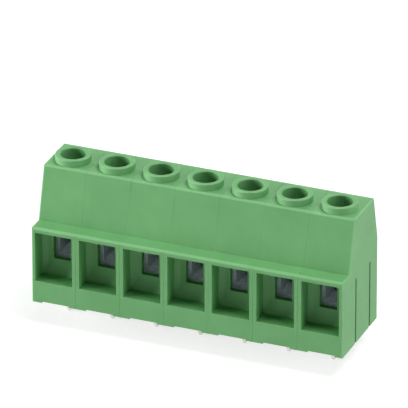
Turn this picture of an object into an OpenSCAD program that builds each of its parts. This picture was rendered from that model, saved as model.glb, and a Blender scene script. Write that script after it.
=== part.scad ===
// Screw terminal block for printed circuit boards, with rising-sleeve clamps.
// Each pole is a moulded housing that interlocks with its neighbours, a bent
// contact bar with two solder pins, a tension sleeve and a captive screw.
// The origin is the middle of the row's front solder pins, on the board:
// +X runs along the poles, +Y from the wire side to the back, +Z up.
// Depths named "_y" are counted from the front face of the body.

/* [Block] */
// Number of poles in the row
poles = 7; // [2:1:12]
// Distance from one pole to the next
pitch = 9.52; // [9.4:0.02:10.16]
// Depth of the body at the board
body_d = 19.4; // [19:0.1:22]
// Height of the shelf above the wire mouths
shelf_h = 16.75; // [16.5:0.05:18]
// Depth of the shelf
shelf_d = 3.55; // [2.8:0.05:4]
// Height of the top face
top_h = 27.75; // [27.2:0.05:30]
// How far the front wall leans back above the shelf
front_lean = 3; // [2:0.1:3.3]
// How far the back wall leans forward at its top
back_lean = 2.3; // [1:0.1:3]
// Height at which the back wall starts to lean
bend_h = 18.1; // [16:0.1:20]
// Edge radius where the front and back walls meet the top and the shelf
wall_round = 0.5; // [0.3:0.05:0.7]
// Edge radius round the two outer ends of the row
end_round = 0.3; // [0.1:0.05:0.5]
// Edge radius where two housings meet
seam_round = 0.08; // [0.05:0.01:0.15]

/* [Feet and interlock] */
// Clear height under the body, between the feet
foot_h = 0.4; // [0.3:0.05:1]
// Width of the foot along the left side of a pole
left_foot_w = 2.05; // [1.6:0.05:2.2]
// Width of the foot along the right side of a pole
right_foot_w = 1.55; // [1.2:0.05:2]
// Depth from the front to the first interlock groove
front_groove_y = 7.37; // [6.5:0.05:8]
// Depth from the front to the second interlock groove
back_groove_y = 15.05; // [14:0.05:16.5]
// Width of an interlock groove
groove_w = 0.6; // [0.5:0.05:0.8]
// Depth of an interlock groove into the wall
groove_d = 1; // [0.8:0.05:1.1]
// Height of the interlock grooves
groove_h = 14.4; // [10:0.1:16]
// Play on each side of an interlock rib
rib_gap = 0.05; // [0.03:0.01:0.1]

/* [Wire funnel] */
// Wall between the mouth and the side of the pole
mouth_wall = 0.75; // [0.6:0.05:1]
// Height of the mouth's floor above the board
mouth_floor_h = 4.84; // [4.5:0.02:5.2]
// Thickness of the shelf over the mouth
mouth_roof = 1.13; // [0.9:0.01:1.3]
// Straight depth of the mouth
mouth_d = 3.7; // [3:0.1:4]
// Depth over which the mouth narrows to the window's frame
taper_d = 0.8; // [0.5:0.1:1.2]
// Width of the flat frame round the window
frame_w = 1.03; // [0.8:0.01:1.1]
// Width of the window
window_w = 3.7; // [3.2:0.1:3.8]
// Height of the window's sill above the board
sill_h = 8.22; // [8:0.02:8.6]
// Thickness of the wall round the window
window_wall = 1.2; // [0.8:0.1:1.4]

/* [Screw shaft] */
// Depth from the front to the screw's axis
screw_y = 10.6; // [10.4:0.05:11]
// Outside diameter of the collar
collar_d = 7.3; // [6.8:0.1:7.6]
// Height of the collar above the top face
collar_h = 1.45; // [1:0.05:2]
// Bore that guides the screwdriver
bore_d = 5.2; // [4.6:0.1:5.3]
// Small radius on the collar's rims
rim_round = 0.18; // [0.1:0.02:0.25]

/* [Clamp] */
// Outside diameter of the screw's thread
thread_d = 3.5; // [3:0.1:4]
// Diameter of the screw's head
head_d = 5.5; // [5.4:0.05:5.6]
// Height of the screw's head
head_h = 2.2; // [1.8:0.1:2.4]
// Width of the driver slot
slot_w = 0.9; // [0.6:0.1:1.2]
// Depth of the driver slot
slot_d = 1.2; // [0.8:0.1:1.4]
// Outside width of the tension sleeve
sleeve_w = 5.6; // [5.3:0.1:5.7]
// Length of the tension sleeve along the wire
sleeve_l = 5.2; // [4.8:0.1:5.4]
// Thickness of the sleeve's side walls
sleeve_side = 0.8; // [0.7:0.05:0.9]
// Thickness of the sleeve's lower bar
sleeve_bar = 1.4; // [1:0.1:1.6]
// Thickness of the sleeve's threaded top wall
sleeve_nut = 2.2; // [1.8:0.1:2.4]
// Outside corner radius of the sleeve
sleeve_round = 0.5; // [0.3:0.05:0.7]
// How far the open sleeve's bar lies below the window's sill
bar_drop = 0.32; // [0.2:0.02:0.5]
// Rise of the sleeve from open to closed
sleeve_travel = 4.8; // [4.2:0.1:5]
// Slit left between the bar and the contact when closed
closed_gap = 0.7; // [0.5:0.1:0.9]

/* [Contact] */
// Thickness of the contact's strip
strip_t = 1.2; // [1:0.1:1.3]
// Width of the contact's tongue and back leg
strip_w = 3.6; // [3.2:0.1:3.7]
// Overhang of the base plate on each side of the cavity
base_ear = 0.25; // [0.15:0.05:0.35]
// Height of the base plate's underside above the board
base_h = 1.2; // [0.9:0.1:1.5]
// Outside bend radius of the strip
bend_round = 1.5; // [1.3:0.1:1.8]
// Pitch of the grip teeth under the tongue
tooth_pitch = 0.8; // [0.6:0.05:1]
// Height of the grip teeth
tooth_h = 0.25; // [0.15:0.05:0.3]
// Depth from the front to the front row of solder pins
front_pin_y = 7.9; // [7.7:0.05:8.2]
// Distance between the two rows of solder pins
pin_rows = 7.62; // [7.5:0.01:7.8]
// Width of a solder pin
pin_w = 0.9; // [0.7:0.05:1.1]
// Thickness of a solder pin
pin_t = 0.8; // [0.7:0.05:1]
// Length of a solder pin below the board face
pin_l = 4.75; // [3.5:0.05:5.5]
// Length of the pin's pointed end
pin_point = 0.6; // [0.4:0.1:1]

/* [Clearances] */
// Play between the sleeve and the walls that guide it
slide_gap = 0.15; // [0.1:0.01:0.2]
// Radial play between the screw and the sleeve's thread
thread_gap = 0.05; // [0.03:0.01:0.08]
// Gap that keeps the sleeve and the screw off what lies above and below
stop_gap = 0.2; // [0.1:0.02:0.3]
// Gap under the screw's tip
tip_gap = 0.03; // [0.02:0.01:0.05]

/* [Hidden] */
$fn = 72;
ARC_STEPS = 5;
OVER = 1;

// Plan of the pole
half = pitch / 2;
mouth_half = half - mouth_wall;
window_half = window_w / 2;
frame_half = window_half + frame_w;
frame_y = mouth_d + taper_d;
cavity_half = sleeve_w / 2 + slide_gap;
cavity_y = frame_y + window_wall;
back_pin_y = front_pin_y + pin_rows;
leg_y = back_pin_y - strip_t / 2;
cavity_back_y = leg_y + strip_t;
base_half = cavity_half + base_ear;
base_y = front_pin_y - strip_t / 2;
sleeve_y = screw_y - sleeve_l / 2;

// Heights, from the clamp's lower bar up
bar_h = sill_h - bar_drop;
tongue_h = bar_h + sleeve_travel + closed_gap;
tongue_top_h = tongue_h + strip_t;
nut_h = tongue_top_h + stop_gap;
nut_top_h = nut_h + sleeve_nut;
head_z = nut_top_h + sleeve_travel + stop_gap;
chamber_top_h = head_z + head_h + stop_gap;
collar_top_h = top_h + collar_h;
mouth_top_h = shelf_h - mouth_roof;

function pole_x(k) = (k - (poles + 1) / 2) * pitch;
function unit(v) = v / norm(v);

// The arc that rounds corner b, between its neighbours a and c, by radius r
function corner(a, b, c, r) =
    r == 0 ? [b] :
    let (
        u = unit(a - b),
        v = unit(c - b),
        turn = acos(u * v) / 2,
        centre = b + unit(u + v) * r / sin(turn),
        from = b + u * r / tan(turn) - centre,
        to = b + v * r / tan(turn) - centre,
        start = atan2(from.y, from.x),
        sweep = (atan2(to.y, to.x) - start + 540) % 360 - 180
    )
    [for (i = [0:ARC_STEPS])
        let (angle = start + sweep * i / ARC_STEPS)
        centre + r * [cos(angle), sin(angle)]];

// An outline whose corners [x, y, radius] are rounded
function rounded(corners) =
    let (n = len(corners), points = [for (c = corners) [c.x, c.y]])
    [for (i = [0:n - 1])
        each corner(points[(i + n - 1) % n], points[i], points[(i + 1) % n], corners[i].z)];

module at_pole(k) {
    translate([pole_x(k), -front_pin_y, 0]) children();
}

// A side outline, drawn as (depth, height), extruded over the width from x0 to x1
module side_prism(outline, x0, x1) {
    translate([x0, 0, 0]) rotate([90, 0, 90]) linear_extrude(x1 - x0) polygon(outline);
}

// A front outline, drawn as (width, height), extruded over the depth from y0 to y1
module front_prism(outline, y0, y1) {
    translate([0, y1, 0]) rotate([90, 0, 0]) linear_extrude(y1 - y0) polygon(outline);
}

// A plan outline, drawn as (width, depth), extruded from z0 to z1
module plan_prism(outline, z0, z1) {
    translate([0, 0, z0]) linear_extrude(z1 - z0) polygon(outline);
}

// Plan of the pole with its front and back edges rounded, left and right apart
function plan_outline(left_round, right_round, front, back) = rounded([
    [-half, front, left_round], [half, front, right_round],
    [half, back, right_round], [-half, back, left_round]]);

// Front view of the pole with its two upper edges rounded
function front_outline(left_round, right_round, height) = rounded([
    [-half, 0, 0], [half, 0, 0], [half, height, right_round], [-half, height, left_round]]);

// Everything on the wall side of a plane that leans back by "lean" over "rise", with
// its upright edges rounded: it starts at (y, z) and runs "reach" along the depth
module leaning_prism(left_round, right_round, y, z, lean, rise, reach) {
    far = body_d + top_h;
    translate([0, y, z]) rotate([-atan2(lean, rise), 0, 0])
        plan_prism(plan_outline(left_round, right_round, min(0, reach), max(0, reach)), -far, far);
}

// The lower block that carries the wire mouths
module mouth_block(left_round, right_round) {
    outline = rounded([
        [0, 0, wall_round / 2], [body_d / 2, 0, 0],
        [body_d / 2, shelf_h, 0], [0, shelf_h, wall_round]]);
    intersection() {
        side_prism(outline, -half, half);
        plan_prism(plan_outline(left_round, right_round, 0, body_d), 0, shelf_h);
        front_prism(front_outline(left_round, right_round, shelf_h), 0, body_d);
    }
}

// The tapered body that rises behind the shelf and holds the clamp
module clamp_body(left_round, right_round) {
    outline = rounded([
        [shelf_d, 0, 0], [shelf_d, shelf_h, 0],
        [shelf_d + front_lean, top_h, wall_round],
        [body_d - back_lean, top_h, wall_round],
        [body_d, bend_h, 2 * wall_round], [body_d, 0, wall_round / 2]]);
    intersection() {
        side_prism(outline, -half, half);
        plan_prism(plan_outline(left_round, right_round, -body_d, body_d), 0, top_h);
        front_prism(front_outline(left_round, right_round, top_h), 0, body_d);
        leaning_prism(left_round, right_round, shelf_d, shelf_h,
            front_lean, top_h - shelf_h, 2 * body_d);
        leaning_prism(left_round, right_round, body_d, bend_h,
            -back_lean, top_h - bend_h, -2 * body_d);
    }
}

// Mouth, taper, frame and window, as the common space of a plan and a side view
module wire_funnel() {
    through_y = cavity_y + OVER;
    right_side = [
        [mouth_half, -OVER], [mouth_half, mouth_d], [frame_half, frame_y],
        [window_half, frame_y], [window_half, through_y]];
    left_side = [for (i = [len(right_side) - 1:-1:0]) [-right_side[i].x, right_side[i].y]];
    side = [
        [-OVER, mouth_floor_h], [mouth_d, mouth_floor_h], [frame_y, sill_h - frame_w],
        [frame_y, sill_h], [through_y, sill_h], [through_y, tongue_h],
        [frame_y, tongue_h], [frame_y, tongue_h + frame_w],
        [mouth_d, mouth_top_h], [-OVER, mouth_top_h]];
    intersection() {
        plan_prism(concat(right_side, left_side), 0, shelf_h);
        side_prism(side, -half, half);
    }
}

// Upright shaft of the screw: driver bore, then the wider chamber round the head
module screw_shaft() {
    bore_r = bore_d / 2;
    translate([0, screw_y, 0]) rotate_extrude() polygon([
        [0, head_z - OVER], [cavity_half, head_z - OVER], [cavity_half, chamber_top_h],
        [bore_r, chamber_top_h], [bore_r, collar_top_h - rim_round],
        [bore_r + rim_round, collar_top_h], [bore_r + rim_round, collar_top_h + OVER],
        [0, collar_top_h + OVER]]);
}

module collar() {
    r = collar_d / 2;
    translate([0, screw_y, 0]) rotate_extrude() polygon(rounded([
        [0, chamber_top_h, 0], [r, chamber_top_h, 0],
        [r, collar_top_h, rim_round], [0, collar_top_h, 0]]));
}

// Space for the clamp, open at the bottom, with a wider pocket for the base plate
module clamp_cavity() {
    pocket_top_h = base_h + strip_t;
    translate([-cavity_half, cavity_y, -OVER])
        cube([2 * cavity_half, cavity_back_y - cavity_y, head_z + OVER]);
    translate([-base_half, base_y, -OVER])
        cube([2 * base_half, cavity_back_y - base_y, pocket_top_h + OVER]);
}

// Snap noses in the pocket's side walls that keep the base plate in
module snap_noses() {
    nose = base_ear;
    nose_l = strip_t;
    mid_y = (base_y + cavity_back_y) / 2;
    for (side = [-1, 1])
        front_prism([
            [side * (base_half + nose), base_h], [side * (base_half - nose), base_h],
            [side * (base_half + nose), base_h - 3 * nose]],
            mid_y - nose_l, mid_y + nose_l);
}

module interlock_grooves() {
    for (y = [front_groove_y, back_groove_y])
        front_prism([
            [half - groove_d, -OVER], [half + OVER, -OVER], [half + OVER, groove_h],
            [half, groove_h], [half - groove_d, groove_h - groove_d / 2]],
            y - groove_w / 2, y + groove_w / 2);
}

// Ribs on the left side, rooted in the wall, that slide into the next housing's grooves
module interlock_ribs() {
    rib_half = groove_w / 2 - rib_gap;
    rib = groove_d - 2 * rib_gap;
    rib_top_h = groove_h - 2 * rib_gap;
    root_x = rib_half - half;
    for (y = [front_groove_y, back_groove_y])
        front_prism([
            [root_x, foot_h], [root_x, rib_top_h], [-half, rib_top_h],
            [-half - rib, rib_top_h - rib / 2], [-half - rib, foot_h + rib / 2], [-half, foot_h]],
            y - rib_half, y + rib_half);
}

module foot_channel() {
    translate([left_foot_w - half, -OVER, -OVER])
        cube([pitch - left_foot_w - right_foot_w, body_d + 2 * OVER, foot_h + OVER]);
}

module housing(k) {
    left_round = k == 1 ? end_round : seam_round;
    right_round = k == poles ? end_round : seam_round;
    color("mediumseagreen") at_pole(k) {
        difference() {
            union() {
                mouth_block(left_round, right_round);
                clamp_body(left_round, right_round);
                collar();
            }
            wire_funnel();
            screw_shaft();
            clamp_cavity();
            foot_channel();
            interlock_grooves();
        }
        interlock_ribs();
        snap_noses();
    }
}

// Side view of the strip, bent to a C: base plate, back leg and toothed tongue
function contact_outline() =
    let (
        inner_round = bend_round - strip_t,
        back = leg_y + strip_t,
        tongue_y = sleeve_y + slide_gap,
        teeth = floor((sleeve_l - strip_t) / tooth_pitch)
    )
    concat(
        rounded([
            [base_y, base_h, 0], [back, base_h, bend_round],
            [back, tongue_top_h, bend_round], [tongue_y, tongue_top_h, strip_t / 3],
            [tongue_y, tongue_h, strip_t / 6]]),
        [for (i = [0:teeth - 1], step = [0.5, 1])
            [tongue_y + (i + step) * tooth_pitch, tongue_h + (step == 1 ? 0 : tooth_h)]],
        rounded([
            [leg_y - bend_round, tongue_h, 0], [leg_y, tongue_h, inner_round],
            [leg_y, base_h + strip_t, inner_round], [base_y, base_h + strip_t, 0]]));

// A square pin that narrows to its point in both views
module solder_pin(y) {
    w = pin_w / 2;
    t = pin_t / 2;
    neck = pin_point - pin_l;
    top = base_h + strip_t / 2;
    function view(r) = [[-r, top], [-r, neck], [-r / 2, -pin_l], [r / 2, -pin_l], [r, neck], [r, top]];
    translate([0, y, 0]) intersection() {
        front_prism(view(w), -t, t);
        side_prism(view(t), -w, w);
    }
}

module contact(k) {
    color("silver") at_pole(k) {
        side_prism(contact_outline(), -strip_w / 2, strip_w / 2);
        translate([-base_half, base_y, base_h])
            cube([2 * base_half, leg_y - base_y - bend_round + strip_t, strip_t]);
        solder_pin(front_pin_y);
        solder_pin(back_pin_y);
    }
}

module sleeve(k) {
    outer = sleeve_w / 2;
    inner = outer - sleeve_side;
    low = bar_h - sleeve_bar;
    inner_round = sleeve_round / 2;
    outside = rounded([
        [-outer, low, sleeve_round], [outer, low, sleeve_round],
        [outer, nut_top_h, sleeve_round], [-outer, nut_top_h, sleeve_round]]);
    inside = rounded([
        [-inner, bar_h, inner_round], [inner, bar_h, inner_round],
        [inner, nut_h, inner_round], [-inner, nut_h, inner_round]]);
    color("gainsboro") at_pole(k) difference() {
        front_prism(outside, sleeve_y, sleeve_y + sleeve_l);
        front_prism(inside, sleeve_y - OVER, sleeve_y + sleeve_l + OVER);
        translate([0, screw_y, nut_h - OVER])
            cylinder(r = thread_d / 2 + thread_gap, h = sleeve_nut + 2 * OVER);
    }
}

module screw(k) {
    tip_z = tongue_top_h + tip_gap;
    thread_r = thread_d / 2;
    head_r = head_d / 2;
    head_top = head_z + head_h;
    color("lightgray") at_pole(k) translate([0, screw_y, 0]) difference() {
        rotate_extrude() polygon(concat(
            [[0, tip_z], [thread_r - rim_round * 2, tip_z], [thread_r, tip_z + rim_round * 2]],
            [[thread_r, head_z], [head_r, head_z]],
            corner([head_r, head_z], [head_r, head_top], [0, head_top], 2 * rim_round),
            [[0, head_top]]));
        translate([-head_r - OVER, -slot_w / 2, head_top - slot_d])
            cube([head_d + 2 * OVER, slot_w, slot_d + OVER]);
    }
}

for (k = [1:poles]) {
    housing(k);
    contact(k);
    sleeve(k);
    screw(k);
}
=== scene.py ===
"""Looks of a seven-pole screw terminal block for printed circuit boards.

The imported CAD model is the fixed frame. Each class below dresses one kind of
sub-assembly: the moulded housings, the bent contacts, the rising clamp sleeves
and the captive clamp screws. Lengths are in metres unless a name ends in _mm.
"""

import logging
import math
import sys
from collections.abc import Callable, Iterable
from dataclasses import dataclass
from enum import Enum
from typing import Any

import bmesh
import bpy
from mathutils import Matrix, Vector

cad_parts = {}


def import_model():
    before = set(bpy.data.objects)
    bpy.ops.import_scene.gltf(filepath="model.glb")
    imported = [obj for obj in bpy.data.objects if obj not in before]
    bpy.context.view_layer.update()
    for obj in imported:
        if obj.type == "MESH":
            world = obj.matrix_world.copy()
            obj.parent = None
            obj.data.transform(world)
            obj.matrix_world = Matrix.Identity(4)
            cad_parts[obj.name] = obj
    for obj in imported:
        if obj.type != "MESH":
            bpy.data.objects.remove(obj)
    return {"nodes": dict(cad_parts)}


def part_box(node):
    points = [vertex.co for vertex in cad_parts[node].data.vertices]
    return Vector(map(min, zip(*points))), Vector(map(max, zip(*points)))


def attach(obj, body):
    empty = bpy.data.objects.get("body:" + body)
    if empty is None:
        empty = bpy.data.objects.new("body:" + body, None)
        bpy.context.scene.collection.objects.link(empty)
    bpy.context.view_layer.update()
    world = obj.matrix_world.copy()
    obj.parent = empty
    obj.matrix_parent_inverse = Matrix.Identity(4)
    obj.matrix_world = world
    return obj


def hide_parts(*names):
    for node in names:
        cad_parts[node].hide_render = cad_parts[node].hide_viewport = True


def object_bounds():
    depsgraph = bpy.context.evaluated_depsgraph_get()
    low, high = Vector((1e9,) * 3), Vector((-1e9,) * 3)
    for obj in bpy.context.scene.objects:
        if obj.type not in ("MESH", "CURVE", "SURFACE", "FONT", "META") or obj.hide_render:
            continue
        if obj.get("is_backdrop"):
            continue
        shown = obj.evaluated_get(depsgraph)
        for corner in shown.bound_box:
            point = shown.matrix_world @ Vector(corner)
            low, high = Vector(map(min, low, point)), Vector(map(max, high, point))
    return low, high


MM = 0.001
FULL_TURN = 2 * math.pi
MERGE = 1e-7
# mask of the painted highlight: how far a face is drawn in the paler edge colour
PAINTED_HIGHLIGHT = "painted_edge_highlight"
LOG = logging.getLogger("terminal_block")

Solids = dict[str, bpy.types.Object]


class Slot(Enum):
    """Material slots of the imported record."""

    HOUSING = "housing_polyamide"
    CONTACT = "contact_tin"
    SLEEVE = "sleeve_zinc"
    SCREW = "screw_zinc"


# ---------------------------------------------------------------- node helpers


def linear(code: str) -> tuple[float, float, float, float]:
    """Turns an sRGB hex colour into linear light.

    Args:
        code: The colour as "#rrggbb".

    Returns:
        Linear red, green and blue, with alpha 1.
    """
    parts = [int(code[i : i + 2], 16) / 255 for i in (1, 3, 5)]
    light = [c / 12.92 if c <= 0.04045 else ((c + 0.055) / 1.055) ** 2.4 for c in parts]
    return (light[0], light[1], light[2], 1.0)


def add_node(
    tree: bpy.types.NodeTree, kind: str, inputs: dict[Any, Any] | None = None, **settings: Any
) -> bpy.types.Node:
    """Adds a node with its settings, and fills or links its inputs.

    Args:
        tree: The node tree that gets the node.
        kind: The node's type, such as "ShaderNodeMath".
        inputs: Values or output sockets by input name or index.
        settings: Properties of the node, such as operation="ADD".

    Returns:
        The new node.
    """
    made = tree.nodes.new(kind)
    for name, value in settings.items():
        setattr(made, name, value)
    for key, value in (inputs or {}).items():
        if isinstance(value, bpy.types.NodeSocket):
            tree.links.new(value, made.inputs[key])
        else:
            made.inputs[key].default_value = value
    return made


def maths(tree: bpy.types.NodeTree, operation: str, *values: Any) -> bpy.types.NodeSocket:
    """Result of a Math node on one, two or three values."""
    return add_node(
        tree, "ShaderNodeMath", dict(enumerate(values)), operation=operation
    ).outputs[0]


def new_material(name: str) -> tuple[bpy.types.Material, bpy.types.NodeTree]:
    """Makes an empty node material.

    Args:
        name: The material's name.

    Returns:
        The material and its node tree.
    """
    material = bpy.data.materials.new(name)
    material.use_nodes = True
    material.node_tree.nodes.clear()
    return material, material.node_tree


def per_mm(size_mm: float) -> float:
    """Scale of a noise on Object coordinates whose features are size_mm across."""
    return 1 / (size_mm * MM)


# -------------------------------------------------------------------- finishes


@dataclass(frozen=True)
class MouldedPolyamide:
    """Glass-free polyamide 66 from a fine spark-eroded mould: satin, faintly grained.

    It gives the eye an even mid green with a soft sheen. The thin rounded edges are
    drawn a paler green, a painted highlight for the bright line that a rounded edge
    shows under soft boxes. The grain of the real mould is about 0.05 mm; it is drawn at 0.2 mm, so that
    it shows.
    """

    colour: str = "#69A86A"
    pale: str = "#6EAE6F"
    deep: str = "#64A265"
    # colour of the painted highlight on the thin rounded edges
    edge: str = "#94D094"
    roughness: float = 0.5
    ior: float = 1.53
    specular: float = 0.4
    grain_mm: float = 0.2
    flow_mm: float = 6.0
    grain_depth_mm: float = 0.012

    def build(self) -> bpy.types.Material:
        """Builds the material."""
        material, tree = new_material("moulded_polyamide_66")
        where = add_node(tree, "ShaderNodeTexCoord").outputs["Object"]
        # slow drift of the pigment, as the melt flowed into the mould
        flow = add_node(
            tree,
            "ShaderNodeTexNoise",
            {"Vector": where, "Scale": per_mm(self.flow_mm), "Detail": 3.0, "Roughness": 0.55},
        )
        tint = add_node(tree, "ShaderNodeValToRGB", {"Fac": flow.outputs["Fac"]})
        ramp = tint.color_ramp
        ramp.elements[0].position, ramp.elements[0].color = 0.25, linear(self.deep)
        ramp.elements[1].position, ramp.elements[1].color = 0.75, linear(self.pale)
        middle = ramp.elements.new(0.5)
        middle.color = linear(self.colour)
        # painted highlight: faces of the rounded edges are mixed towards the paler colour
        rounded = add_node(tree, "ShaderNodeAttribute", {}, attribute_name=PAINTED_HIGHLIGHT)
        body = add_node(
            tree,
            "ShaderNodeMixRGB",
            {
                "Fac": rounded.outputs["Fac"],
                "Color1": tint.outputs["Color"],
                "Color2": linear(self.edge),
            },
        )
        grain = add_node(
            tree,
            "ShaderNodeTexNoise",
            {"Vector": where, "Scale": per_mm(self.grain_mm), "Detail": 2.0, "Roughness": 0.6},
        )
        gloss = add_node(
            tree,
            "ShaderNodeMapRange",
            {
                "Value": grain.outputs["Fac"],
                "From Min": 0.3,
                "From Max": 0.7,
                "To Min": self.roughness - 0.05,
                "To Max": self.roughness + 0.05,
            },
        )
        relief = add_node(
            tree,
            "ShaderNodeBump",
            {
                "Height": grain.outputs["Fac"],
                "Strength": 0.5,
                "Distance": self.grain_depth_mm * MM,
            },
        )
        shader = add_node(
            tree,
            "ShaderNodeBsdfPrincipled",
            {
                "Base Color": body.outputs["Color"],
                "Roughness": gloss.outputs["Result"],
                "Normal": relief.outputs["Normal"],
                "IOR": self.ior,
                "Specular IOR Level": self.specular,
            },
        )
        add_node(tree, "ShaderNodeOutputMaterial", {"Surface": shader.outputs["BSDF"]})
        return material


@dataclass(frozen=True)
class PlatedMetal:
    """Thin plate on a formed metal part, faintly cloudy, with a fine tool grain.

    The real grain is about 0.02 mm; it is drawn several times coarser, so that it
    shows at all. The name says which metal and how the part was formed.
    """

    name: str
    colour: str
    cloud: str
    roughness: float
    line_mm: float
    cloud_mm: float = 0.9
    line_depth_mm: float = 0.004

    def build(self) -> bpy.types.Material:
        """Builds the material."""
        material, tree = new_material(self.name)
        where = add_node(tree, "ShaderNodeTexCoord").outputs["Object"]
        cloudy = add_node(
            tree,
            "ShaderNodeTexNoise",
            {"Vector": where, "Scale": per_mm(self.cloud_mm), "Detail": 4.0, "Roughness": 0.65},
        )
        tint = add_node(tree, "ShaderNodeValToRGB", {"Fac": cloudy.outputs["Fac"]})
        ramp = tint.color_ramp
        ramp.elements[0].position, ramp.elements[0].color = 0.3, linear(self.cloud)
        ramp.elements[1].position, ramp.elements[1].color = 0.7, linear(self.colour)
        lines = add_node(
            tree,
            "ShaderNodeTexNoise",
            {
                "Vector": where,
                "Scale": per_mm(self.line_mm),
                "Detail": 2.0,
                "Roughness": 0.5,
            },
        )
        gloss = add_node(
            tree,
            "ShaderNodeMapRange",
            {
                "Value": cloudy.outputs["Fac"],
                "From Min": 0.3,
                "From Max": 0.7,
                "To Min": self.roughness + 0.08,
                "To Max": self.roughness - 0.06,
            },
        )
        relief = add_node(
            tree,
            "ShaderNodeBump",
            {
                "Height": lines.outputs["Fac"],
                "Strength": 0.6,
                "Distance": self.line_depth_mm * MM,
            },
        )
        shader = add_node(
            tree,
            "ShaderNodeBsdfPrincipled",
            {
                "Base Color": tint.outputs["Color"],
                "Metallic": 1.0,
                "Roughness": gloss.outputs["Result"],
                "Normal": relief.outputs["Normal"],
            },
        )
        add_node(tree, "ShaderNodeOutputMaterial", {"Surface": shader.outputs["BSDF"]})
        return material


# ---------------------------------------------------------------- mesh helpers


def cad_copy(solid: bpy.types.Object, name: str) -> bpy.types.Object:
    """Copies a CAD node's mesh as a closed shell with flat sides joined up.

    Args:
        solid: The CAD node's object.
        name: Name of the new piece.

    Returns:
        The new object, at the origin.
    """
    mesh = solid.data.copy()
    mesh.name = name
    mesh.materials.clear()
    shell = bmesh.new()
    shell.from_mesh(mesh)
    bmesh.ops.remove_doubles(shell, verts=shell.verts, dist=MERGE)
    bmesh.ops.dissolve_limit(
        shell,
        angle_limit=math.radians(0.2),
        verts=shell.verts,
        edges=shell.edges,
    )
    shell.to_mesh(mesh)
    shell.free()
    piece = bpy.data.objects.new(name, mesh)
    bpy.context.scene.collection.objects.link(piece)
    return piece


def painted_highlight_layer(shell: bmesh.types.BMesh) -> bmesh.types.BMLayerItem:
    """The layer of a shell that says how far each face takes on the painted highlight."""
    layers = shell.faces.layers.float
    return layers.get(PAINTED_HIGHLIGHT) or layers.new(PAINTED_HIGHLIGHT)


def has_room(edge: bmesh.types.BMEdge, room: float) -> bool:
    """Whether no parallel edge of its faces runs too near beside an edge.

    Args:
        edge: The edge that is to be rounded.
        room: Width of flat face that it needs.

    Returns:
        False where a rounding would reach past the far side of a narrow ledge.
    """
    start = edge.verts[0].co
    length = edge.calc_length()
    along = (edge.verts[1].co - start) / length
    for other in (o for face in edge.link_faces for o in face.edges if o is not edge):
        near, far = (v.co - start for v in other.verts)
        if (far - near).normalized().cross(along).length > 0.01:
            continue
        beside = (near - along * near.dot(along)).length
        overlap = min(length, max(near.dot(along), far.dot(along))) - max(
            0.0, min(near.dot(along), far.dot(along))
        )
        if beside < room and overlap > 0:
            return False
    return True


def round_edges(
    piece: bpy.types.Object,
    radius: float,
    chosen: Callable[[bmesh.types.BMEdge], bool],
    painted_highlight: float = 0.0,
    steps: int = 2,
) -> None:
    """Rounds the chosen sharp edges of a piece where they have room for it.

    Args:
        piece: The object whose mesh is changed.
        radius: Offset of the rounding from the edge.
        chosen: Says whether an edge is rounded.
        painted_highlight: How far the rounding takes on the finish's painted highlight colour, from 0
            to 1.
        steps: Faces across the rounding.
    """
    shell = bmesh.new()
    shell.from_mesh(piece.data)
    highlight_layer = painted_highlight_layer(shell)
    edges = [e for e in shell.edges if chosen(e) and has_room(e, 2 * radius)]
    rounding = bmesh.ops.bevel(
        shell,
        geom=edges,
        offset=radius,
        segments=steps,
        profile=0.5,
        affect="EDGES",
        clamp_overlap=True,
    )
    # the new roundings are given the painted highlight
    for face in rounding["faces"]:
        face[highlight_layer] = painted_highlight
    shell.to_mesh(piece.data)
    shell.free()


def smooth_by_angle(mesh: bpy.types.Mesh, limit_deg: float = 32.0) -> None:
    """Shades a mesh smooth, with sharp edges kept above an angle.

    Args:
        mesh: The mesh to shade.
        limit_deg: Faces that meet at more than this stay apart.
    """
    limit = math.radians(limit_deg)
    shell = bmesh.new()
    shell.from_mesh(mesh)
    for face in shell.faces:
        face.smooth = True
    for edge in shell.edges:
        edge.smooth = len(edge.link_faces) == 2 and edge.calc_face_angle(0.0) <= limit
    shell.to_mesh(mesh)
    shell.free()


def sharp(edge: bmesh.types.BMEdge, over_deg: float = 40.0) -> bool:
    """Whether an edge's faces meet at more than an angle."""
    return edge.calc_face_angle(0.0) > math.radians(over_deg)


def grown_mesh(tree: bpy.types.NodeTree, values: dict[str, Any]) -> bpy.types.Mesh:
    """Runs a geometry node tree and returns its result as a plain mesh.

    Args:
        tree: The tree, which needs no geometry put in.
        values: Its inputs by name.

    Returns:
        The mesh, in the row frame.
    """
    host = bpy.data.objects.new("host", bpy.data.meshes.new("host"))
    bpy.context.scene.collection.objects.link(host)
    modifier = host.modifiers.new("grow", "NODES")
    modifier.node_group = tree
    for item in tree.interface.items_tree:
        if item.in_out == "INPUT" and item.name in values:
            modifier[item.identifier] = values[item.name]
    depsgraph = bpy.context.evaluated_depsgraph_get()
    mesh = bpy.data.meshes.new_from_object(host.evaluated_get(depsgraph))
    bpy.data.objects.remove(host)
    return mesh


def join_mesh(base: bpy.types.Mesh, extra: bpy.types.Mesh) -> None:
    """Adds one mesh's shells to another and removes the first from the file."""
    shell = bmesh.new()
    shell.from_mesh(base)
    shell.from_mesh(extra)
    shell.to_mesh(base)
    shell.free()
    bpy.data.meshes.remove(extra)


# ------------------------------------------------------------------ assemblies


def finish_piece(
    piece: bpy.types.Object, body: str, node: str, material: bpy.types.Material
) -> None:
    """Puts a finished piece in the place of its CAD node.

    Args:
        piece: The piece, already in place in the row frame.
        body: CAD body that it rides on.
        node: CAD node that it stands for.
        material: The piece's finish.
    """
    piece.data.materials.clear()
    piece.data.materials.append(material)
    # big flat faces keep their own direction, and only the roundings turn
    weigh = piece.modifiers.new("flat_faces_first", "WEIGHTED_NORMAL")
    weigh.keep_sharp = True
    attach(piece, body)
    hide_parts(node)
    LOG.info("%s: %d faces, rides on %s", piece.name, len(piece.data.polygons), body)


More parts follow.
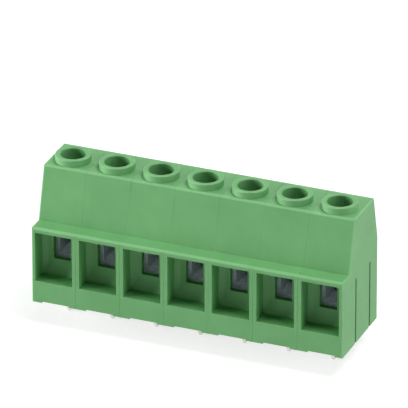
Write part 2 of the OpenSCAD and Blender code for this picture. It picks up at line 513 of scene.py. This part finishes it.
@dataclass
class HousingRow:
    """The interlocking moulded housings.

    Args:
        solids: CAD nodes by name.
        poles: Number of housings.
        finish: Finish of the mouldings.
        rim_radius: Rounding of the outer edges, mouths, windows and feet.
        rim_highlight: How far the rims take on the painted highlight colour.
        arc_highlight: How far the long roundings of the body take on the painted highlight colour.
        arc_step: Faces narrower than this between two bends belong to a rounding.
        seam_turn: A rounding that faces sideways more than this isn't along the row.
        end_reach: Depth of the plain ends, whose upright edges count as rims.
        corner_radius: Rounding of the inner corners.
        seam_radius: Rounding where a housing meets its neighbour.
        seam_reach: An edge this near the side of its housing is at the seam.
        shortest: Edges shorter than this keep their corner.
    """

    solids: Solids
    poles: int
    finish: MouldedPolyamide
    rim_radius: float = 0.1 * MM
    rim_highlight: float = 0.7
    arc_highlight: float = 0.38
    arc_step: float = 0.2 * MM
    seam_turn: float = 0.2
    end_reach: float = 0.6 * MM
    corner_radius: float = 0.05 * MM
    seam_radius: float = 0.03 * MM
    seam_reach: float = 0.02 * MM
    shortest: float = 0.35 * MM

    def paint_arc_highlights(self, mesh: bpy.types.Mesh) -> None:
        """Paints the highlight colour onto the roundings that the CAD node already has.

        Args:
            mesh: Mesh of a housing, before its other edges are rounded.
        """
        shell = bmesh.new()
        shell.from_mesh(mesh)
        highlight_layer = painted_highlight_layer(shell)
        inner_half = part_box(f"housing_{self.poles}")[1].x - self.end_reach
        for face in shell.faces:
            longest = max(edge.calc_length() for edge in face.edges)
            bends = [sharp(edge, 4) and not sharp(edge, 40) for edge in face.edges]
            sideways = abs(face.normal.x) > self.seam_turn
            at_neighbour = sideways and abs(face.calc_center_median().x) < inner_half
            narrow = face.calc_area() < longest * self.arc_step
            # narrow roundings of the CAD shape get the painted highlight, but not those at a
            # neighbour's seam
            if narrow and sum(bends) > 1 and not at_neighbour:
                face[highlight_layer] = self.arc_highlight
        shell.to_mesh(mesh)
        shell.free()

    def build(self) -> None:
        """Builds one piece for each housing."""
        material = self.finish.build()
        for pole in range(1, self.poles + 1):
            node = f"housing_{pole}"
            low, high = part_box(node)
            piece = cad_copy(self.solids[node], f"moulded_housing_{pole}")

            def at_seam(edge: bmesh.types.BMEdge) -> bool:
                """Whether an edge lies in the plane of either side of the housing."""
                return any(
                    all(abs(v.co.x - side) < self.seam_reach for v in edge.verts)
                    for side in (low.x, high.x)
                )

            def long_edge(edge: bmesh.types.BMEdge) -> bool:
                """Whether an edge is sharp and long enough to be rounded."""
                return sharp(edge) and edge.calc_length() > self.shortest

            self.paint_arc_highlights(piece.data)
            round_edges(piece, self.seam_radius, lambda e: long_edge(e) and at_seam(e))
            # the convex rims get the painted highlight
            round_edges(
                piece,
                self.rim_radius,
                lambda e: long_edge(e) and e.is_convex and not at_seam(e),
                self.rim_highlight,
            )
            round_edges(
                piece,
                self.corner_radius,
                lambda e: long_edge(e) and not e.is_convex and not at_seam(e),
            )
            smooth_by_angle(piece.data)
            finish_piece(piece, "block", node, material)


@dataclass
class ContactRow:
    """The bent contact bars with their solder pins.

    Args:
        solids: CAD nodes by name.
        poles: Number of contacts.
        finish: Finish of the strip.
        edge_radius: Rounding that the blanking leaves on the strip's edges.
        shortest: Edges shorter than this keep their corner.
    """

    solids: Solids
    poles: int
    finish: PlatedMetal
    edge_radius: float = 0.05 * MM
    shortest: float = 0.3 * MM

    def build(self) -> None:
        """Builds one piece for each contact."""
        material = self.finish.build()
        for pole in range(1, self.poles + 1):
            node = f"contact_{pole}"
            piece = cad_copy(self.solids[node], f"bent_contact_{pole}")
            round_edges(
                piece, self.edge_radius, lambda e: sharp(e, 60) and e.calc_length() > self.shortest
            )
            smooth_by_angle(piece.data)
            finish_piece(piece, "block", node, material)


@dataclass
class SleeveRow:
    """The rising clamp sleeves, with ribs across their bar that grip the wire.

    Args:
        solids: CAD nodes by name.
        poles: Number of sleeves.
        finish: Finish of the sleeves.
        edge_radius: Rounding of the cut ends.
        shortest: Edges shorter than this keep their corner.
        wall: Thickness of the side walls.
        bar: Thickness of the lower bar.
        rib_pitch: Distance between the grip ribs.
        rib_height: How far a rib stands up from the bar.
        rib_margin: Plain bar left at the ends of the row of ribs.
    """

    solids: Solids
    poles: int
    finish: PlatedMetal
    edge_radius: float = 0.1 * MM
    shortest: float = 0.12 * MM
    wall: float = 0.8 * MM
    bar: float = 1.4 * MM
    rib_pitch: float = 0.6 * MM
    rib_height: float = 0.12 * MM
    rib_margin: float = 0.6 * MM

    def rib_tree(self, material: bpy.types.Material) -> bpy.types.NodeTree:
        """Makes the node tree that lays a row of square rods, edge up, along the bar.

        Args:
            material: Finish of the ribs.

        Returns:
            The geometry node tree.
        """
        tree = bpy.data.node_groups.new("grip_ribs", "GeometryNodeTree")
        face = tree.interface
        face.new_socket("Geometry", in_out="INPUT", socket_type="NodeSocketGeometry")
        for label in ("First Rib", "Step"):
            face.new_socket(label, in_out="INPUT", socket_type="NodeSocketVector")
        for label in ("Rib Radius", "Rib Length"):
            face.new_socket(label, in_out="INPUT", socket_type="NodeSocketFloat")
        face.new_socket("Count", in_out="INPUT", socket_type="NodeSocketInt")
        face.new_socket("Geometry", in_out="OUTPUT", socket_type="NodeSocketGeometry")
        given = add_node(tree, "NodeGroupInput").outputs
        row = add_node(
            tree,
            "GeometryNodeMeshLine",
            {"Count": given["Count"], "Start Location": given["First Rib"], "Offset": given["Step"]},
        )
        rod = add_node(
            tree,
            "GeometryNodeMeshCylinder",
            {"Vertices": 4, "Radius": given["Rib Radius"], "Depth": given["Rib Length"]},
        )
        ribs = add_node(
            tree,
            "GeometryNodeInstanceOnPoints",
            {
                "Points": row.outputs["Mesh"],
                "Instance": rod.outputs["Mesh"],
                "Rotation": (0.0, math.pi / 2, 0.0),
            },
        )
        real = add_node(
            tree, "GeometryNodeRealizeInstances", {"Geometry": ribs.outputs["Instances"]}
        )
        dressed = add_node(
            tree,
            "GeometryNodeSetMaterial",
            {"Geometry": real.outputs["Geometry"], "Material": material},
        )
        add_node(tree, "NodeGroupOutput", {"Geometry": dressed.outputs["Geometry"]})
        return tree

    def build(self) -> None:
        """Builds one piece for each sleeve."""
        material = self.finish.build()
        tree = self.rib_tree(material)
        for pole in range(1, self.poles + 1):
            node = f"sleeve_{pole}"
            low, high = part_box(node)
            piece = cad_copy(self.solids[node], f"clamp_sleeve_{pole}")
            round_edges(
                piece, self.edge_radius, lambda e: sharp(e, 60) and e.calc_length() > self.shortest
            )
            smooth_by_angle(piece.data)
            # an edge-up square rod shows as a rib with sides at 45 degrees
            radius = 2 * self.rib_height
            count = int((high.y - low.y - 2 * self.rib_margin) / self.rib_pitch) + 1
            first_y = (low.y + high.y - (count - 1) * self.rib_pitch) / 2
            ribs = grown_mesh(
                tree,
                {
                    "First Rib": ((low.x + high.x) / 2, first_y, low.z + self.bar - self.rib_height),
                    "Step": (0.0, self.rib_pitch, 0.0),
                    "Rib Radius": radius,
                    "Rib Length": high.x - low.x - 1.5 * self.wall,
                    "Count": count,
                },
            )
            join_mesh(piece.data, ribs)
            finish_piece(piece, node, node, material)


@dataclass
class ScrewRow:
    """The captive clamp screws, with their rolled thread and slotted head.

    Args:
        solids: CAD nodes by name.
        poles: Number of screws.
        finish: Finish of the screws.
        lead: Rise of the thread in one turn.
        depth: Depth of the thread.
        segments: Steps round one turn.
        rows: Rows across one turn of the profile.
        run_out: Height over which the thread fades at its ends.
        crest_radius: Radius over the thread's crests.
        overlap: How far the threaded shank reaches into the head.
        cut_above: Where the plain shank is cut off, above the head's underside.
        edge_radius: Rounding of the driver slot's edges.
        shortest: Edges shorter than this keep their corner.
    """

    solids: Solids
    poles: int
    finish: PlatedMetal
    lead: float = 0.6 * MM
    depth: float = 0.34 * MM
    segments: int = 40
    rows: int = 6
    run_out: float = 0.5 * MM
    crest_radius: float = 1.75 * MM
    overlap: float = 0.2 * MM
    cut_above: float = 0.02 * MM
    edge_radius: float = 0.08 * MM
    shortest: float = 2.0 * MM

    def shank_tree(self, material: bpy.types.Material) -> bpy.types.NodeTree:
        """Makes the node tree that shapes a threaded shank.

        A grid is wrapped round the axis and sheared by one lead a turn, so that
        its rows follow the helix; rows past either end are drawn in to it.

        Args:
            material: Finish of the shank.

        Returns:
            The geometry node tree.
        """
        tree = bpy.data.node_groups.new("threaded_shank", "GeometryNodeTree")
        face = tree.interface
        face.new_socket("Geometry", in_out="INPUT", socket_type="NodeSocketGeometry")
        for label in ("Axis X", "Axis Y", "Tip Height", "Top Height", "Crest Radius"):
            face.new_socket(label, in_out="INPUT", socket_type="NodeSocketFloat")
        for label in ("Thread Depth", "Lead", "Run Out"):
            face.new_socket(label, in_out="INPUT", socket_type="NodeSocketFloat")
        for label in ("Segments", "Rows per Lead", "Leads"):
            face.new_socket(label, in_out="INPUT", socket_type="NodeSocketInt")
        face.new_socket("Geometry", in_out="OUTPUT", socket_type="NodeSocketGeometry")
        given = add_node(tree, "NodeGroupInput").outputs

        def calc(operation: str, *values: Any) -> bpy.types.NodeSocket:
            """Result of a Math node in this tree."""
            return maths(tree, operation, *values)

        rows = calc("MULTIPLY", given["Rows per Lead"], calc("ADD", given["Leads"], 1.0))
        grid = add_node(
            tree,
            "GeometryNodeMeshGrid",
            {
                "Size X": 1.0,
                "Size Y": 1.0,
                "Vertices X": calc("ADD", given["Segments"], 1.0),
                "Vertices Y": calc("ADD", rows, 1.0),
            },
        )
        spot = add_node(
            tree,
            "ShaderNodeSeparateXYZ",
            {"Vector": add_node(tree, "GeometryNodeInputPosition").outputs["Position"]},
        ).outputs
        turn = calc("ADD", spot["X"], 0.5)
        row = calc("ROUND", calc("MULTIPLY", calc("ADD", spot["Y"], 0.5), rows))
        leads_up = calc("DIVIDE", row, given["Rows per Lead"])
        climb = calc("SUBTRACT", calc("ADD", turn, leads_up), 1.0)
        height = calc("MULTIPLY_ADD", climb, given["Lead"], given["Tip Height"])
        height = calc("MINIMUM", calc("MAXIMUM", height, given["Tip Height"]), given["Top Height"])
        # distance from the nearer end fades the thread out
        from_end = calc(
            "MINIMUM",
            calc("SUBTRACT", height, given["Tip Height"]),
            calc("SUBTRACT", given["Top Height"], height),
        )
        fade = add_node(
            tree,
            "ShaderNodeMapRange",
            {"Value": from_end, "From Max": given["Run Out"]},
            interpolation_type="SMOOTHSTEP",
        ).outputs["Result"]
        phase = calc("FRACT", leads_up)
        ridge = calc("SUBTRACT", 1.0, calc("ABSOLUTE", calc("MULTIPLY_ADD", phase, 2.0, -1.0)))
        profile = calc("MINIMUM", calc("MULTIPLY", ridge, 1.25), 1.0)
        below = calc("SUBTRACT", 1.0, calc("MULTIPLY", profile, fade))
        radius = calc("SUBTRACT", given["Crest Radius"], calc("MULTIPLY", below, given["Thread Depth"]))
        angle = calc("MULTIPLY", turn, FULL_TURN)
        place = add_node(
            tree,
            "ShaderNodeCombineXYZ",
            {
                "X": calc("MULTIPLY_ADD", calc("COSINE", angle), radius, given["Axis X"]),
                "Y": calc("MULTIPLY_ADD", calc("SINE", angle), radius, given["Axis Y"]),
                "Z": height,
            },
        )
        wrapped = add_node(
            tree,
            "GeometryNodeSetPosition",
            {"Geometry": grid.outputs["Mesh"], "Position": place.outputs["Vector"]},
        )
        root = calc("SUBTRACT", given["Crest Radius"], given["Thread Depth"])
        parts = [wrapped.outputs["Geometry"]]
        for end in ("Tip Height", "Top Height"):
            disc = add_node(
                tree,
                "GeometryNodeMeshCircle",
                {"Vertices": given["Segments"], "Radius": root},
                fill_type="NGON",
            )
            spot_end = add_node(
                tree,
                "ShaderNodeCombineXYZ",
                {"X": given["Axis X"], "Y": given["Axis Y"], "Z": given[end]},
            )
            moved = add_node(
                tree,
                "GeometryNodeTransform",
                {"Geometry": disc.outputs["Mesh"], "Translation": spot_end.outputs["Vector"]},
            )
            parts.append(moved.outputs["Geometry"])
        joined = add_node(tree, "GeometryNodeJoinGeometry")
        for part in reversed(parts):
            tree.links.new(part, joined.inputs["Geometry"])
        merged = add_node(
            tree,
            "GeometryNodeMergeByDistance",
            {"Geometry": joined.outputs["Geometry"], "Distance": MERGE * 10},
        )
        real = add_node(
            tree, "GeometryNodeRealizeInstances", {"Geometry": merged.outputs["Geometry"]}
        )
        dressed = add_node(
            tree,
            "GeometryNodeSetMaterial",
            {"Geometry": real.outputs["Geometry"], "Material": material},
        )
        add_node(tree, "NodeGroupOutput", {"Geometry": dressed.outputs["Geometry"]})
        return tree

    def build(self) -> None:
        """Builds one piece for each screw."""
        material = self.finish.build()
        tree = self.shank_tree(material)
        for pole in range(1, self.poles + 1):
            node = f"screw_{pole}"
            low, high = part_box(node)
            axis_x, axis_y = (low.x + high.x) / 2, (low.y + high.y) / 2
            piece = cad_copy(self.solids[node], f"clamp_screw_{pole}")
            head_z = self.head_height(piece.data, (high.x - low.x) / 2, axis_x)
            self.keep_head(piece.data, head_z)
            round_edges(
                piece, self.edge_radius, lambda e: sharp(e, 60) and e.calc_length() > self.shortest
            )
            smooth_by_angle(piece.data)
            top_z = head_z + self.overlap
            shank = grown_mesh(
                tree,
                {
                    "Axis X": axis_x,
                    "Axis Y": axis_y,
                    "Tip Height": low.z,
                    "Top Height": top_z,
                    "Crest Radius": self.crest_radius,
                    "Thread Depth": self.depth,
                    "Lead": self.lead,
                    "Run Out": self.run_out,
                    "Segments": self.segments,
                    "Rows per Lead": self.rows,
                    "Leads": math.ceil((top_z - low.z) / self.lead) + 1,
                },
            )
            smooth_by_angle(shank, 50)
            join_mesh(piece.data, shank)
            finish_piece(piece, node, node, material)

    @staticmethod
    def head_height(mesh: bpy.types.Mesh, radius: float, axis_x: float) -> float:
        """Lowest height at which a screw is as wide as its head.

        Args:
            mesh: The screw's mesh.
            radius: Radius of the head.
            axis_x: Place of the axis across the row.

        Returns:
            Height of the head's underside.
        """
        return min(v.co.z for v in mesh.vertices if abs(v.co.x - axis_x) > 0.99 * radius)

    def keep_head(self, mesh: bpy.types.Mesh, height: float) -> None:
        """Cuts the shank off a screw and closes the head's underside.

        Args:
            mesh: The screw's mesh.
            height: Height of the head's underside.
        """
        cut_z = height + self.cut_above
        shell = bmesh.new()
        shell.from_mesh(mesh)
        cut = bmesh.ops.bisect_plane(
            shell,
            geom=[*shell.verts, *shell.edges, *shell.faces],
            plane_co=(0, 0, cut_z),
            plane_no=(0, 0, 1),
            clear_inner=True,
        )
        rim = [e for e in cut["geom_cut"] if isinstance(e, bmesh.types.BMEdge)]
        bmesh.ops.holes_fill(shell, edges=rim)
        for vert in shell.verts:
            if abs(vert.co.z - cut_z) < 10 * MERGE:
                vert.co.z = height
        shell.to_mesh(mesh)
        shell.free()


# ---------------------------------------------------------------------- studio


@dataclass
class Lamp:
    """A soft box: a square area light aimed at the block."""

    name: str
    azimuth_deg: float
    elevation_deg: float
    size: float
    power: float
    distance: float = 0.8


@dataclass
class Studio:
    """Floor, lamps, world and camera.

    Args:
        azimuth_deg: Where the camera stands, to the right of the front.
        elevation_deg: How far it looks down.
        distance: From the camera to its aim.
        lens_mm: Focal length on a 36 mm sensor.
        aim: Point of the row frame at the middle of the picture.
        floor_side: Side of the square floor.
        floor_glow: Light that the floor adds to its own look, over the lamps' light.
        fill: Strength of the even light that comes from all round.
        lamps: The soft boxes.
    """

    azimuth_deg: float = 21.97
    elevation_deg: float = 26.37
    distance: float = 1.524
    lens_mm: float = 674.35
    aim: tuple[float, float, float] = (-0.00157, 0.0056, 0.02155)
    floor_side: float = 6.0
    floor_glow: float = 0.76
    fill: float = 0.02
    lamps: tuple[Lamp, ...] = (
        Lamp("soft_box_left", -70, 6, 0.5, 11.6),
        Lamp("soft_box_over_right", 90, 68, 0.4, 4.5),
        Lamp("soft_box_low_right", 90, 12, 0.4, 1.8),
        Lamp("soft_box_back", 180, 40, 0.4, 0.9),
    )

    def build(self, floor_height: float) -> None:
        """Builds the studio.

        Args:
            floor_height: Height that the solder pins stand on.
        """
        bpy.context.scene.view_settings.view_transform = "Standard"
        self.world()
        self.floor(floor_height)
        for lamp in self.lamps:
            self.lamp(lamp)
        self.camera()

    @staticmethod
    def direction(azimuth_deg: float, elevation_deg: float) -> Vector:
        """Unit vector towards an azimuth, from the front, and an elevation."""
        a, e = math.radians(azimuth_deg), math.radians(elevation_deg)
        return Vector((math.sin(a) * math.cos(e), -math.cos(a) * math.cos(e), math.sin(e)))

    def lamp(self, lamp: Lamp) -> None:
        """Hangs one lamp."""
        data = bpy.data.lights.new(lamp.name, "AREA")
        data.shape, data.size = "SQUARE", lamp.size
        data.energy = lamp.power
        hung = bpy.data.objects.new(lamp.name, data)
        back = self.direction(lamp.azimuth_deg, lamp.elevation_deg)
        hung.location = Vector(self.aim) + back * lamp.distance
        hung.rotation_mode = "QUATERNION"
        hung.rotation_quaternion = (-back).to_track_quat("-Z", "Y")
        bpy.context.scene.collection.objects.link(hung)

    def camera(self) -> None:
        """Stands the camera and makes it the scene's own."""
        data = bpy.data.cameras.new("camera")
        data.sensor_width, data.lens = 36.0, self.lens_mm
        data.clip_start, data.clip_end = 0.1, 20.0
        seen = bpy.data.objects.new("camera", data)
        back = self.direction(self.azimuth_deg, self.elevation_deg)
        seen.location = Vector(self.aim) + back * self.distance
        seen.rotation_mode = "QUATERNION"
        seen.rotation_quaternion = (-back).to_track_quat("-Z", "Y")
        bpy.context.scene.collection.objects.link(seen)
        bpy.context.scene.camera = seen

    @staticmethod
    def seen_rays(tree: bpy.types.NodeTree) -> bpy.types.NodeSocket:
        """One for what the camera sees straight, in a reflection or through glass."""
        rays = add_node(tree, "ShaderNodeLightPath").outputs

        mirror = maths(tree, "MAXIMUM", rays["Is Camera Ray"], rays["Is Glossy Ray"])
        clear = maths(tree, "MAXIMUM", mirror, rays["Is Transmission Ray"])
        # what a matt surface gathers is light, and not a view
        direct = maths(tree, "LESS_THAN", rays["Diffuse Depth"], 0.5)
        return maths(tree, "MULTIPLY", clear, direct)

    def world(self) -> None:
        """White world: plain light on the block, pure white where it is seen."""
        world = bpy.data.worlds.new("white_tent")
        world.use_nodes = True
        tree = world.node_tree
        tree.nodes.clear()
        strength = add_node(
            tree,
            "ShaderNodeMix",
            {0: self.seen_rays(tree), 2: self.fill, 3: 1.0},
            data_type="FLOAT",
        )
        light = add_node(
            tree,
            "ShaderNodeBackground",
            {"Color": linear("#FFFFFF"), "Strength": strength.outputs[0]},
        )
        add_node(tree, "ShaderNodeOutputWorld", {"Surface": light.outputs["Background"]})
        bpy.context.scene.world = world

    def floor(self, height: float) -> None:
        """Pale floor that stays white where it is seen and keeps the shadow."""
        half = self.floor_side / 2
        mesh = bpy.data.meshes.new("floor")
        corners = [(-half, -half, height), (half, -half, height), (half, half, height)]
        mesh.from_pydata([*corners, (-half, half, height)], [], [(0, 1, 2, 3)])
        material, tree = new_material("white_paper")
        matt = add_node(tree, "ShaderNodeBsdfDiffuse", {"Color": linear("#B0B0B0")})
        glow = add_node(
            tree,
            "ShaderNodeEmission",
            {"Color": linear("#FFFFFF"), "Strength": self.floor_glow},
        )
        both = add_node(
            tree, "ShaderNodeAddShader", {0: matt.outputs["BSDF"], 1: glow.outputs["Emission"]}
        )
        plain = add_node(tree, "ShaderNodeBsdfDiffuse", {"Color": linear("#E0E0E0")})
        shown = add_node(
            tree,
            "ShaderNodeMixShader",
            {0: self.seen_rays(tree), 1: plain.outputs["BSDF"], 2: both.outputs["Shader"]},
        )
        # from below the floor isn't there, so that the underside can be looked at
        clear = add_node(tree, "ShaderNodeBsdfTransparent")
        back = add_node(tree, "ShaderNodeNewGeometry")
        one_way = add_node(
            tree,
            "ShaderNodeMixShader",
            {0: back.outputs["Backfacing"], 1: shown.outputs["Shader"], 2: clear.outputs["BSDF"]},
        )
        add_node(tree, "ShaderNodeOutputMaterial", {"Surface": one_way.outputs["Shader"]})
        mesh.materials.append(material)
        floor = bpy.data.objects.new("floor", mesh)
        bpy.context.scene.collection.objects.link(floor)
        floor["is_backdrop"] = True


def corners(box: Iterable[Vector]) -> list[list[float]]:
    """A box as plain lists of numbers."""
    return [[float(c) for c in corner] for corner in box]


def main() -> None:
    """Builds the block piece by piece, then the studio."""
    logging.basicConfig(level=logging.INFO, format="%(name)s: %(message)s", stream=sys.stdout)
    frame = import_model()
    cad_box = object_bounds()
    solids: Solids = frame["nodes"]
    poles = sum(name.startswith("housing_") for name in solids)
    # tin on rolled copper gives the eye a soft warm grey without clear reflections
    tin = PlatedMetal("matt_tin_plate", "#E6E6E0", "#CDCDC6", 0.5, 0.12)
    # passivated zinc on drawn steel is a cool, matt, bright grey
    drawn_zinc = PlatedMetal("blue_zinc_plate_drawn", "#ECF4F7", "#D2DEE4", 0.78, 0.1)
    # the same plate on a turned screw keeps more gloss, and is drawn a darker grey all over
    turned_zinc = PlatedMetal("blue_zinc_plate_turned", "#D3DBE0", "#B7C0C7", 0.4, 0.1)
    HousingRow(solids, poles, MouldedPolyamide()).build()
    ContactRow(solids, poles, tin).build()
    SleeveRow(solids, poles, drawn_zinc).build()
    ScrewRow(solids, poles, turned_zinc).build()
    Studio().build(floor_height=cad_box[0].z)


if __name__ == "__main__":
    main()
